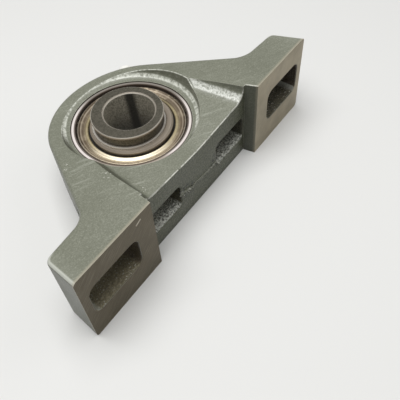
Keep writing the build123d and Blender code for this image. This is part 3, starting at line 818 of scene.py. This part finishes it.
def make_inner_ring():
    """Matt cam top, rims and the neck's foot with painted highlights, a neck in painted shade, ringed
    shoulder, and a bore with one dark band, darker towards the bottom as painted shade.
    """
    material, tree, shader = start_material("turned_inner_steel")
    (x, y, z), (_, _, nz) = place_of(tree), slope_of(tree)
    radius = distance_from(tree, x, y)
    from_cam = distance_from(tree, x, y, CAM_OFFSET * math.cos(CAM_ANGLE), CAM_OFFSET * math.sin(CAM_ANGLE))
    rings = effect(tree, turned_rings, Pitch=0.5 * MM)
    wear = effect(tree, edge_wear, Width=0.4 * MM, Patchiness=0.15)
    shade_and_dirt = effect(tree, corner_shade_and_dirt, Reach=2 * MM, Amount=0.7)
    speckle = noise(tree, 1400.0, roughness=0.7)

    in_bore = ramp(tree, radius, BORE_RADIUS + 0.15 * MM, BORE_RADIUS + 0.05 * MM)
    outside = inverse(tree, in_bore)
    top = product(tree, ramp(tree, z, CAM_TOP - 0.35 * MM, CAM_TOP - 0.25 * MM), ramp(tree, nz, 0.8, 0.95))
    neck = product(tree, band(tree, z, SHOULDER + 0.75 * MM, CAM_RIM - 0.05 * MM, 0.1 * MM), outside)
    root_edge_glint = product(tree, band(tree, z, SHOULDER + 0.05 * MM, SHOULDER + 0.7 * MM, 0.04 * MM),
                        ramp(tree, from_cam, CAM_RADIUS - 0.5 * MM, CAM_RADIUS - 0.35 * MM), outside)
    lean = maths(tree, "SUBTRACT", maths(tree, "ARCTAN2", y, x), product(tree, z, BAND_LEAN))
    bore_dark_band = product(tree, band(tree, lean, BAND_FROM, BAND_TO, math.radians(13)), in_bore)
    two_rims = largest(tree, ramp(tree, from_cam, CAM_RADIUS - 0.3 * MM, CAM_RADIUS - 0.2 * MM),
                       band(tree, radius, BORE_RADIUS + 0.08 * MM, BORE_RADIUS + 0.3 * MM, 0.06 * MM))
    rims = product(tree, two_rims, ramp(tree, z, CAM_TOP - 0.6 * MM, CAM_TOP - 0.5 * MM))

    sharp = ramp(tree, speckle, 0.35, 0.65)
    colour = lay(tree, blend(tree, rings["Lines"], (118, 107, 95), (170, 158, 143)),
                 (blend(tree, sharp, (74, 71, 61), (98, 94, 83)), top),
                 # Painted shade on the neck under the cam
                 (blend(tree, sharp, (58, 55, 45), (94, 89, 76)), neck),
                 # Painted highlight at the foot of the neck
                 ((244, 238, 228), root_edge_glint),
                 (blend(tree, sharp, (146, 140, 124), (208, 202, 186)), in_bore),
                 # A dark band along one side of the bore
                 ((40, 39, 34), bore_dark_band, 0.9),
                 # Painted shade: the bore darker towards the bottom
                 ((44, 41, 34), in_bore, ramp(tree, z, 9.0 * MM, -6.0 * MM), 0.75),
                 ((214, 208, 196), rims, 0.7),
                 ((214, 208, 196), wear["Mask"], 0.8),
                 # Painted shade, with dust, in the corners
                 ((34, 30, 24), shade_and_dirt["Mask"], outside))
    tree.links.new(colour, shader.inputs["Base Color"])

    tree.links.new(maths(tree, "SUBTRACT", 0.55, product(tree, in_bore, 0.30)), shader.inputs["Metallic"])
    matt = total(tree, 0.40, product(tree, top, 0.16), product(tree, in_bore, 0.10))
    tree.links.new(vary(tree, matt, speckle, 0.15), shader.inputs["Roughness"])
    turned = inverse(tree, largest(tree, top, in_bore))
    height = total(tree, product(tree, rings["Height"], turned), product(tree, speckle, top, 0.6))
    bump(tree, shader, height, strength=0.5, distance=0.03 * MM)
    return material


dress(make_inner_ring(), "inner_ring")

# %% [markdown]
# ## Rubber and plastic
#
# The seal's lip is black nitrile, dusty where it doesn't rub. The cap is soft white plastic that has
# been handled, so it is a little grey in patches.

# %% Rubber lip and plastic cap
def make_rubber():
    """Black rubber with a dusty bloom."""
    material, tree, shader = start_material("seal_rubber", Roughness=0.62)
    bloom = ramp(tree, noise(tree, 500.0), 0.45, 0.75)
    tree.links.new(blend(tree, bloom, (22, 21, 20), (44, 42, 38)), shader.inputs["Base Color"])
    grain = noise(tree, 3000.0, detail=2.0, roughness=0.5)
    bump(tree, shader, grain, strength=0.3, distance=0.02 * MM)
    return material


def make_cap_plastic():
    """Soft white plastic with a handled, slightly mottled surface."""
    material, tree, shader = start_material("cap_plastic")
    stain = ramp(tree, noise(tree, 350.0), 0.35, 0.75)
    tree.links.new(blend(tree, stain, (246, 245, 240), (232, 230, 222)), shader.inputs["Base Color"])
    tree.links.new(total(tree, 0.38, product(tree, stain, 0.15)), shader.inputs["Roughness"])
    grain = noise(tree, 2200.0, detail=2.0, roughness=0.5)
    bump(tree, shader, grain, strength=0.25, distance=0.03 * MM)
    return material


dress(make_rubber(), "seal_upper", "seal_lower")
dress(make_cap_plastic(), "fitting_cap")

# %% [markdown]
# ## Floor, light and camera
#
# The block lies on its flat side on a pale sweep of paper. One large soft lamp hangs above it, a weak
# one fills from the right, and a pale world does the rest. The paper looks pale to the camera and in
# reflections, and throws little light back, so the sides of the block stay darker than its top.

# %% Floor
FLOOR_RADIUS = 3.0          # metres
FLOOR_CORNERS = 96


def make_floor():
    """A pale disc, much wider than the view, at the level that the block lies on."""
    turns = np.linspace(0, 2 * np.pi, FLOOR_CORNERS + 1)[:-1]
    x, y = FLOOR_RADIUS * np.cos(turns), FLOOR_RADIUS * np.sin(turns)
    points = np.stack([x, y, np.full_like(turns, FLOOR)], axis=1)
    mesh = bpy.data.meshes.new("floor")
    mesh.from_pydata(points.tolist(), [], [list(range(len(turns)))])
    floor = bpy.data.objects.new("floor", mesh)
    bpy.context.scene.collection.objects.link(floor)
    material, tree, shader = start_material("pale_paper", Roughness=0.9)
    path = add_node(tree, "ShaderNodeLightPath").outputs
    seen = largest(tree, path["Is Camera Ray"], path["Is Glossy Ray"], path["Is Transmission Ray"])
    tree.links.new(blend(tree, seen, (78, 78, 76), (226, 226, 224)), shader.inputs["Base Color"])
    mesh.materials.append(material)
    return floor


floor = make_floor()
print("floor is", len(floor.data.polygons), "face")

# %% Lamps and world
LAMP_SIZE = 0.6             # metres
LAMPS = {"key": ((-0.08, 0.04, 0.75), 6.4), "fill": ((0.5, -0.45, 0.5), 0.6)}       # place and watts
WORLD_STRENGTH = 0.22


def add_lamp(name, place, power):
    """A square area lamp at a place, in metres, that looks at the middle of the insert."""
    data = bpy.data.lights.new(name, "AREA")
    data.shape = "SQUARE"
    data.size = LAMP_SIZE
    data.energy = power
    lamp = bpy.data.objects.new(name, data)
    bpy.context.scene.collection.objects.link(lamp)
    lamp.location = place
    lamp.rotation_euler = (-Vector(place)).to_track_quat("-Z", "Y").to_euler()


for name, (place, power) in LAMPS.items():
    add_lamp(name, place, power)

world = bpy.data.worlds.new("studio")
bpy.context.scene.world = world
world.use_nodes = True
background = world.node_tree.nodes["Background"]
background.inputs["Color"].default_value = srgb(238, 238, 236)
background.inputs["Strength"].default_value = WORLD_STRENGTH

# %% [markdown]
# The camera stands where the photographer's did. Its place and lens were fitted to the corners of the
# feet and the circles of the insert; the roll is the small tilt of a hand-held camera.

# %% Camera
CAMERA_PLACE = Vector((-103.9, -116.4, 156.85)) * MM
CAMERA_TARGET = Vector((-12.6, -42.8, 0.55)) * MM
CAMERA_ROLL = math.radians(-4.2)
LENS, SENSOR = 47.0, 36.0   # focal length and width of the film, in millimetres
NEAREST = 10 * MM

camera_data = bpy.data.cameras.new("camera")
camera_data.lens = LENS
camera_data.sensor_width = SENSOR
camera_data.clip_start = NEAREST
camera = bpy.data.objects.new("camera", camera_data)
bpy.context.scene.collection.objects.link(camera)
look = (CAMERA_TARGET - CAMERA_PLACE).to_track_quat("-Z", "Y").to_matrix().to_4x4()
roll = Matrix.Rotation(CAMERA_ROLL, 4, "Z")
camera.matrix_world = Matrix.Translation(CAMERA_PLACE) @ look @ roll
bpy.context.scene.camera = camera
bpy.context.scene.view_settings.view_transform = "Standard"
print("camera at", [round(c / MM) for c in camera.location], "mm")
